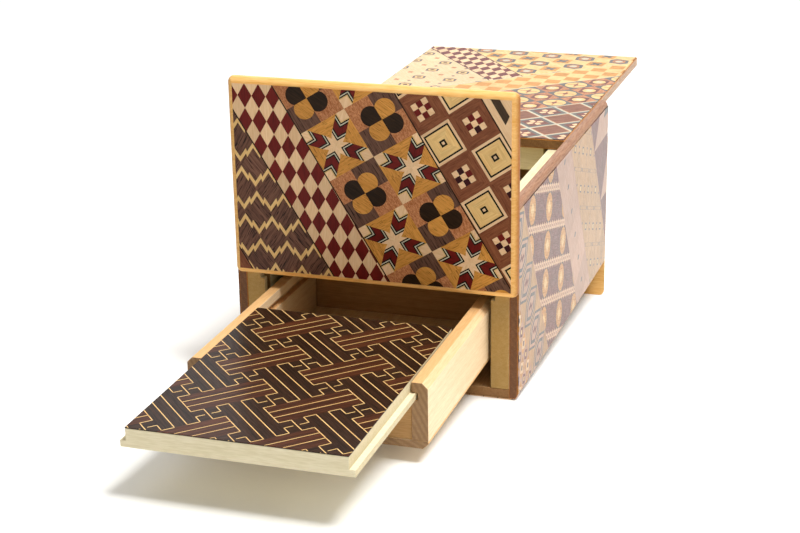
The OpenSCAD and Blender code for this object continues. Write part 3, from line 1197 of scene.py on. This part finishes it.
@dataclass(frozen=True)
class Patch:
    """A band that is itself made of bands with a slant of their own."""

    bands: tuple[tuple[float, object], ...]
    last: float
    slant: Slant

    def lay(self, sheet: Sheet, slant: Slant, low: float, high: float) -> None:
        """Lays the inner bands and cuts them to the outer band as well.

        Args:
            sheet: The sheet.
            slant: The outer bands' slant.
            low: Where the outer band begins.
            high: Where it ends.
        """
        sheet.frame = slant.cuts(low, high)
        lay_bands(sheet, self.slant, self.bands, self.last, BOG_WOOD)
        sheet.frame = []


@dataclass(frozen=True)
class KeyFret:
    """The drawer lid's interlocking key fret: bars of two dark woods edged with thin pale lines.

    It repeats on a square grid of units. Lying bars are seven units long and three wide about
    (2.5, 2.5), upright ones are the same about (7.5, 2.5), and both repeat by (5, 5) and (5, -5).
    """

    origin: Point = (21.0, 77.8)
    lying: Point = (2.98, -3.08)
    rising: Point = (2.98, 3.06)
    line_mm: float = 0.33

    PERIOD = 5
    STROKES = (
        ((-1, 1), (-1, 2)), ((-1, 2), (6, 2)), ((6, 2), (6, 1)),
        ((-1, 4), (-1, 3)), ((-1, 3), (6, 3)), ((6, 3), (6, 4)),
        ((1, 1), (4, 1)), ((1, 4), (4, 4)),
        ((-1, 1), (0, 1)), ((5, 1), (6, 1)), ((-1, 4), (0, 4)), ((5, 4), (6, 4)),
        ((1, 0), (1, 1)), ((4, 0), (4, 1)), ((1, 4), (1, 5)), ((4, 4), (4, 5)),
        ((-1, 0), (1, 0)), ((4, 0), (6, 0)),
        ((0, 0.3), (0, 1)), ((0, -1), (0, -0.3)), ((5, 0.3), (5, 1)), ((5, -1), (5, -0.3)),
        ((7, -1), (7, 6)), ((8, -1), (8, 6)),
    )

    def lay(self, sheet: Sheet) -> None:
        """Lays the dark unit squares bar by bar and lets the pale lines into them."""
        axes = np.array([self.lying, self.rising])
        reach = 34
        places, at = lattice(
            self.origin, axes[0], axes[1], range(-reach, reach), range(-reach, reach)
        )
        inside = (places > -9).all(1) & (places < (sheet.width + 9, sheet.height + 9)).all(1)
        places, at = places[inside], at[inside]
        i, j = at.T
        shades = seeded("fret").uniform(0.3, 0.7, (16, 16, 4))
        lying_row, lying_strip = (j - 1) // 5, (j - 1) % 5
        lying_at = i + 1 - 5 * lying_row
        is_lying = (lying_strip < 3) & (lying_at % 10 < 7)
        upright_column, upright_strip = (i - 6) // 5, (i - 6) % 5
        upright_at = j + 1 - 5 * upright_column
        is_upright = ~is_lying & (upright_strip < 3) & (upright_at % 10 < 7)
        is_corner = ~is_lying & ~is_upright
        half = SQUARE / 2 + 0.5
        lying_tone = shades[lying_row % 16, (lying_at // 10) % 16, lying_strip % 4]
        upright_tone = shades[(upright_at // 10) % 16, upright_column % 16, upright_strip % 4]
        for mask, wood, tone, grain in (
            (is_lying, WENGE, lying_tone + 0.1, (1, 0)),
            (is_upright, ROSEWOOD, upright_tone, (0, 1)),
            (is_corner, WENGE, lying_tone + 0.2, (0, 1)),
        ):
            sheet.lay(half, places[mask], axes, wood, grain, tone[mask], 0, under=True)
            self._one_log(sheet, np.array(grain) @ axes)
        self._lines(sheet, axes)
        sheet.trim([])

    @staticmethod
    def _one_log(sheet: Sheet, fibre: np.ndarray) -> None:
        """Lets the fibres run on from one unit square to the next, as in one strip of wood."""
        batch = sheet.batches[-1]
        fibre = fibre / np.hypot(*fibre)
        along = batch["places"] @ fibre
        across = batch["places"] @ (-fibre[1], fibre[0])
        batch["grain"] = np.column_stack([along, across, 40 * batch["tone"]])

    def _lines(self, sheet: Sheet, axes: np.ndarray) -> None:
        """Lays every stroke as a thin rectangle that reaches half its width past both ends."""
        reach = range(-8, 9)
        i, j = (n.ravel() for n in np.meshgrid(list(reach), list(reach), indexing="ij"))
        shifts = np.stack([i + j, i - j], -1) * self.PERIOD
        half = self.line_mm / 2 / np.hypot(*axes[0])
        for (x0, y0), (x1, y1) in self.STROKES:
            middle = np.array([(x0 + x1) / 2, (y0 + y1) / 2])
            size = np.array([abs(x1 - x0) / 2 + half, abs(y1 - y0) / 2 + half])
            centres = np.array(self.origin) + (shifts + middle) @ axes
            inside = (centres > -20).all(1) & (centres < (sheet.width + 20, sheet.height + 20)).all(1)
            sheet.lay(SQUARE * size, centres[inside], axes, SPINDLE, (x1 - x0, y1 - y0), 0.6, 0.04)


def lay_bands(
    sheet: Sheet, slant: Slant, bands: tuple[tuple[float, object], ...], last: float, line: WoodFinish
) -> None:
    """Lays bands side by side with a thin line at every joint.

    Args:
        sheet: The sheet.
        slant: The bands' slant.
        bands: Where each band begins across the slant, and its design.
        last: Where the last band ends.
        line: The thin lines' wood.
    """
    starts = [start for start, _ in bands] + [last]
    for (low, band), high in zip(bands, starts[1:]):
        band.lay(sheet, slant, low, high)
    for number in starts[1:-1]:
        slant.rule(sheet, number, line)


@dataclass(frozen=True)
class Banded:
    """A marquetry sheet of slanted bands with thin dark lines between them.

    Each band begins at a number across the slant: millimetres from the line through the sheet's
    lower left corner, square to the slant.
    """

    node: str
    side: Side
    bands: tuple[tuple[float, object], ...]
    last: float
    slant: Slant = Slant()
    line: WoodFinish = BOG_WOOD
    # Painted shade for the whole sheet, taken off every tile's tone
    shade: float = 0.0

    def build(self) -> bpy.types.Object:
        """Lays the bands in their order and finishes the sheet."""
        sheet = Sheet(self.node, self.side, shade=self.shade)
        lay_bands(sheet, self.slant, self.bands, self.last, self.line)
        return sheet.finish(self.node.replace("veneer", "marquetry"))


# ---- Sub-assemblies ----


@dataclass(frozen=True)
class FrontPanel:
    """The raised front end panel: board, marquetry and the cleat behind it."""

    edge: float = 2.4

    def build(self) -> None:
        """Builds the panel's three pieces."""
        PanelBoard("front_panel_board", "front_panel_veneer", True).build()
        Board("front_panel_cleat", RAW_MAGNOLIA, Along.WIDTH, "inner_wall_wood").build()
        self.marquetry().build()

    def at(self, x: float, z: float) -> Point:
        """A place on the panel, measured from its lower left corner, as a place on the sheet."""
        return (x - self.edge, z - self.edge)

    def marquetry(self) -> Banded:
        """The front's bands: plain, lightning, harlequin, star and clover, targets, pickets."""
        slant = Slant()
        bands = (
            (-60.0, Plain(ZELKOVA, 0.35)),
            (slant.across(self.at(2.2, 11.1)), Lightning(self.at(21.1, 33.4))),
            (
                slant.across(self.at(21.5, 32.65)),
                Harlequin(self.at(12.8, 69.3)),
            ),
            (
                slant.across(self.at(40.15, 37.65)),
                StarAndClover(self.at(42.25, 52.75)),
            ),
            (
                slant.across(self.at(86.35, 38.65)),
                TargetAndChequer(self.at(82.75, 56.65)),
            ),
            (slant.across(self.at(102.2, 64.65)), DarkPickets(self.at(106.9, 67.9))),
        )
        return Banded("front_panel_veneer", Side.FRONT, bands, 180.0, slant)


@dataclass(frozen=True)
class RearPanel:
    """The lowered rear end panel."""

    def build(self) -> None:
        """Builds the panel's three pieces."""
        PanelBoard("rear_panel_board", "rear_panel_veneer", False).build()
        Board("rear_panel_cleat", RAW_MAGNOLIA, Along.WIDTH, "inner_wall_wood").build()
        bands = (
            (-60.0, Harlequin((3.0, 20.0))),
            (30.0, TargetAndChequer((20.0, 40.0))),
            (57.0, Lightning((60.0, 38.0))),
            (86.0, StarAndClover((92.0, 40.0))),
        )
        Banded("rear_panel_veneer", Side.REAR, bands, 180.0).build()


@dataclass(frozen=True)
class Case:
    """The fixed body: base, sides, inner walls, floors and the runners under the drawer."""

    def build(self) -> None:
        """Builds the boards and the side and base marquetry."""
        for side in ("left", "right"):
            Board(f"{side}_side_board", SIDE_OAK, Along.LENGTH_UPRIGHT, "side_board").build()
            Board(f"{side}_inner_wall", RAW_MAGNOLIA, Along.LENGTH_UPRIGHT, "inner_wall_wood").build()
            Board(f"{side}_drawer_runner", RAW_CEDAR, Along.LENGTH, "floor_wood").build()
        Board("base_board", BASE_WOOD, Along.LENGTH, "side_board").build()
        Board("divider_floor", RAW_MAGNOLIA, Along.LENGTH, "floor_wood").build()
        Board("compartment_front_wall", RAW_CEDAR, Along.WIDTH, "floor_wood").build()
        Board("rear_cross_wall", RAW_CEDAR, Along.WIDTH, "floor_wood").build()
        self.right_marquetry().build()
        self.left_marquetry().build()
        self.base_marquetry().build()

    @staticmethod
    def right_marquetry() -> Banded:
        """The right side's bands, from the front to the rear."""
        small = (
            (LACQUER_TREE, (("diamond", 0.9, 0.0, MAGNOLIA), ("diamond", 0.4, 0.0, WALNUT))),
            (PINK_MAPLE, (("diamond", 0.8, 0.0, PLUM), ("diamond", 0.35, 0.0, SPINDLE))),
        )
        meander = (
            ("hexagon", 0.97, 0.0, GREY_BOG),
            ("hexagon", 0.84, 0.0, PINK_MAPLE),
            ("hexagon", 0.68, 0.0, GREY_BOG),
            ("hexagon", 0.5, 0.0, PINK_MAPLE),
            ("bar", 0.3, 0.0, PLUM),
            ("square", 0.1, 0.12, PLUM),
            ("square", 0.1, -0.12, PLUM),
        )
        spots = (("diamond", 0.16, 0.0, GREY_BOG),)
        stars = (("saltire", 1.0, 0.0, GREY_BOG), ("saltire", 0.86, 0.0, MULBERRY))
        bud = (("diamond", 0.4, 0.0, GREY_BOG), ("diamond", 0.24, 0.0, SPINDLE))
        lilac = (("diamond", 0.98, 0.0, PINK_MAPLE), ("diamond", 0.3, 0.0, GREY_BOG))
        slant = Slant(60.0)
        bands = (
            (-60.0, Cells(6.5, small)),
            (slant.across((0.6, 35.6)), Cells(13.6, ((MULBERRY, meander),), 1, 3.5)),
            (slant.across((26.2, 35.6)), Medallions((43.2, 44.0))),
            (slant.across((78.0, 35.6)), Cells(14.1, ((PINK_MAPLE, spots),), 1, -4.0)),
            (slant.across((103.2, 35.6)), Cells(11.5, ((MULBERRY, bud), (MULBERRY, stars)), 3)),
            (slant.across((140.0, 35.6)), Cells(30.0, ((PLUM, lilac),), 2, 6.0)),
        )
        # The last number, 0.42, is painted shade: every tile on the right side is laid darker than its wood
        return Banded("right_side_veneer", Side.RIGHT, bands, 260.0, slant, PINK_MAPLE, 0.42)

    @staticmethod
    def left_marquetry() -> Banded:
        """The left side's bands, from the rear to the front."""
        bands = (
            (-60.0, Lightning((10.0, 40.0))),
            (39.0, StarAndClover((42.0, 40.0))),
            (79.0, Harlequin((76.0, 36.0))),
            (98.0, TargetAndChequer((104.0, 40.0))),
            (126.0, Lightning((150.0, 36.0), ground=ZELKOVA)),
        )
        return Banded("left_side_veneer", Side.LEFT, bands, 260.0)

    @staticmethod
    def base_marquetry() -> Banded:
        """The underside's plainer bands."""
        bands = (
            (-90.0, Harlequin((0.0, 60.0), MAGNOLIA, WALNUT)),
            (66.0, Lightning((60.0, 70.0))),
            (94.0, Harlequin((66.0, 60.0), SPINDLE, ZELKOVA)),
        )
        return Banded("base_veneer", Side.UNDER, bands, 260.0)


@dataclass(frozen=True)
class TopPanel:
    """The top, slid back: board, marquetry, cross cleats, runners and guide strips."""

    def build(self) -> None:
        """Builds the top's eight pieces."""
        Board("top_board", TOP_CEDAR, Along.LENGTH, "side_board").build()
        for end in ("front", "rear"):
            Board(f"top_{end}_cleat", LID_BASSWOOD, Along.WIDTH, "inner_wall_wood", 0.5).build()
        for side in ("left", "right"):
            Board(f"top_{side}_runner", RAW_MAGNOLIA, Along.LENGTH, "inner_wall_wood").build()
            Board(f"top_{side}_guide", RAW_CEDAR, Along.LENGTH, "floor_wood").build()
        self.marquetry().build()

    @staticmethod
    def marquetry() -> Banded:
        """The top's bands, from its front right corner to its rear left, where they turn."""
        flowers = (
            (
                MAGNOLIA,
                (
                    ("hexagon", 0.66, 0.0, GREY_BOG),
                    ("hexagon", 0.44, 0.0, SPINDLE),
                    ("disc", 0.2, 0.0, WALNUT),
                ),
            ),
            (MAGNOLIA, (("diamond", 0.3, 0.0, CHERRY), ("square", 0.14, 0.8, GREY_BOG))),
        )
        stars = (
            (
                SPINDLE,
                (
                    ("hexagon", 0.9, 0.0, GREY_BOG),
                    ("hexagon", 0.6, 0.0, CHERRY),
                    ("disc", 0.3, 0.0, CHALK),
                ),
            ),
            (SPINDLE, (("diamond", 0.96, 0.0, LACQUER_TREE), ("plus", 0.5, 0.0, GREY_BOG))),
        )
        roses = (
            (CHERRY, (("diamond", 0.96, 0.0, PLUM), ("disc", 0.5, 0.0, SPINDLE), ("plus", 0.28, 0.0, CHALK))),
            (
                GREY_BOG,
                (
                    ("disc", 0.84, 0.0, SPINDLE),
                    ("saltire", 0.5, 0.0, CHERRY),
                    ("disc", 0.2, 0.0, PLUM),
                ),
            ),
        )
        crosses = (
            (
                CHALK,
                (
                    ("square", 0.92, 0.0, GREY_BOG),
                    ("square", 0.68, 0.0, PLUM),
                    ("plus", 0.56, 0.0, MAGNOLIA),
                    ("saltire", 0.34, 0.0, RED_DYED),
                ),
            ),
            (CHALK, (("square", 0.92, 0.0, CHERRY), ("square", 0.84, 0.0, ZELKOVA))),
        )
        inner = (
            (-60.0, Cells(11.0, flowers)),
            (92.0, Harlequin((4.8, 150.0))),
            (109.0, Cells(12.0, stars)),
        )
        bands = (
            (-84.5, Cells(13.1, crosses, 5, 2.0)),
            (-19.0, Cells(12.0, roses, 3)),
            (16.5, Cells(10.0, ((SPINDLE, (("diamond", 0.94, 0.0, LACQUER_TREE),)),), 2)),
            (36.5, Patch(inner, 300.0, Slant(52.0))),
        )
        return Banded("top_veneer", Side.TOP, bands, 190.0, Slant(-42.0), CHALK)


@dataclass(frozen=True)
class Drawer:
    """The hidden drawer, drawn out of the front."""

    def build(self) -> None:
        """Builds the drawer's five pieces."""
        for side in ("left", "right"):
            Board(f"drawer_{side}_side", DRAWER_BIRCH, Along.LENGTH_UPRIGHT, "drawer_wood", 0.25).build()
        Board("drawer_bottom", DRAWER_BIRCH, Along.LENGTH, "drawer_wood", 0.2).build()
        Board("drawer_front_wall", RAW_CEDAR, Along.WIDTH, "drawer_wood").build()
        Board("drawer_back_wall", RAW_CEDAR, Along.WIDTH, "drawer_wood").build()


@dataclass(frozen=True)
class DrawerLid:
    """The drawer's own sliding lid with its key-fret veneer."""

    def build(self) -> None:
        """Builds the lid's board and veneer."""
        Board("lid_board", LID_BASSWOOD, Along.WIDTH_FLAT, "lid_wood", 0.25).build()
        sheet = Sheet("lid_veneer", Side.TOP, "key_fret_veneer")
        KeyFret().lay(sheet)
        sheet.finish("lid_key_fret")


# ---- Studio ----


@dataclass(frozen=True)
class Studio:
    """A white table, soft light from above and behind, and the camera."""

    camera_at: tuple[float, float, float] = (0.20077, -0.65383, 0.26331)
    azimuth: float = 18.332
    elevation: float = 19.508
    roll: float = -0.9325
    lens: float = 78.857

    def camera(self) -> None:
        """Looks down at the box from its front right, turned slightly about the line of sight."""
        data = bpy.data.cameras.new("camera")
        data.sensor_width = 36.0
        data.lens = self.lens
        data.clip_start, data.clip_end = 0.01, 60.0
        camera = put_in_scene("camera", data)
        azimuth, elevation = math.radians(self.azimuth), math.radians(self.elevation)
        forward = Vector(
            (
                -math.sin(azimuth) * math.cos(elevation),
                math.cos(azimuth) * math.cos(elevation),
                -math.sin(elevation),
            )
        )
        level = forward.cross(Vector((0, 0, 1))).normalized()
        right = Matrix.Rotation(math.radians(self.roll), 3, -forward) @ level
        up = right.cross(forward)
        turn = Matrix((right, up, -forward)).transposed().to_4x4()
        turn.translation = Vector(self.camera_at)
        camera.matrix_world = turn
        bpy.context.scene.camera = camera

    def table(self) -> None:
        """Lays a white table under the front edge of the body and the lowered rear panel."""
        body_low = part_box("base_board")[0]
        rear_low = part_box("rear_panel_board")[0]
        slope = (rear_low.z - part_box("base_veneer")[0].z) / (rear_low.y - body_low.y)
        x, y = np.meshgrid([-8.0, 8.0], [-6.0, 14.0])
        z = (y - body_low.y) * slope - 0.0001
        mesh = bpy.data.meshes.new("table")
        mesh.from_pydata(np.stack([x, y, z], -1).reshape(-1, 3).tolist(), [], [(0, 1, 3, 2)])
        paper = bpy.data.materials.new("white_table_paper")
        paper.use_nodes = True
        shader = paper.node_tree.nodes["Principled BSDF"]
        shader.inputs["Base Color"].default_value = linear("#f7f7f4")
        shader.inputs["Roughness"].default_value = 0.9
        # The paper is overlit, as a studio's white sweep is
        shader.inputs["Emission Color"].default_value = linear("#ffffff")
        shader.inputs["Emission Strength"].default_value = 0.04
        mesh.materials.append(paper)
        put_in_scene("table", mesh)

    def light(self) -> None:
        """Hangs the soft boxes and gives the room a bright back wall and a dim front."""
        self._soft_box("over_right", (0.56, -0.12, 1.35), (0.0, 0.0, 0.0), 0.55, 24.5, "#ffffff")
        self._soft_box("over_sweep", (-0.2, 1.7, 1.3), (-0.2, 1.4, 0.0), 1.6, 15.0, "#ffffff")
        world = bpy.data.worlds.new("white_room")
        world.use_nodes = True
        tree = world.node_tree
        way = add(tree, "ShaderNodeTexCoord").outputs["Generated"]
        depth = add(tree, "ShaderNodeSeparateXYZ", None, {0: way}).outputs["Y"]
        inputs = {"Value": depth, "From Min": -0.7, "From Max": 0.8, "To Min": 0.2, "To Max": 0.8}
        glow = add(tree, "ShaderNodeMapRange", {"interpolation_type": "SMOOTHSTEP"}, inputs).outputs[0]
        background = tree.nodes["Background"]
        background.inputs["Color"].default_value = linear("#fffdfa")
        tree.links.new(glow, background.inputs["Strength"])
        bpy.context.scene.world = world
        bpy.context.scene.view_settings.view_transform = "Standard"

    @staticmethod
    def _soft_box(
        name: str,
        place: tuple[float, float, float],
        target: tuple[float, float, float],
        size: float,
        power: float,
        colour: str,
    ) -> None:
        """Hangs a square light that faces a point.

        Args:
            name: Its name.
            place: Where it hangs, in metres.
            target: The point that it faces.
            size: Its side in metres.
            power: Its power in watts.
            colour: Its colour.
        """
        data = bpy.data.lights.new(name, "AREA")
        data.size = size
        data.energy = power
        data.color = linear(colour)[:3]
        lamp = put_in_scene(name, data)
        lamp.location = place
        lamp.rotation_euler = (Vector(place) - Vector(target)).to_track_quat("Z", "Y").to_euler()


def corners(box: tuple[Vector, Vector]) -> list[list[float]]:
    """A box's two corners as plain lists."""
    return [list(corner) for corner in box]


def main() -> None:
    studio = Studio()
    studio.camera()
    studio.table()
    studio.light()
    for part in (Case(), RearPanel(), TopPanel(), FrontPanel(), Drawer(), DrawerLid()):
        part.build()
        LOG.info("built %s", type(part).__name__)


if __name__ == "__main__":
    logging.basicConfig(level=logging.INFO, format="%(message)s")
    main()
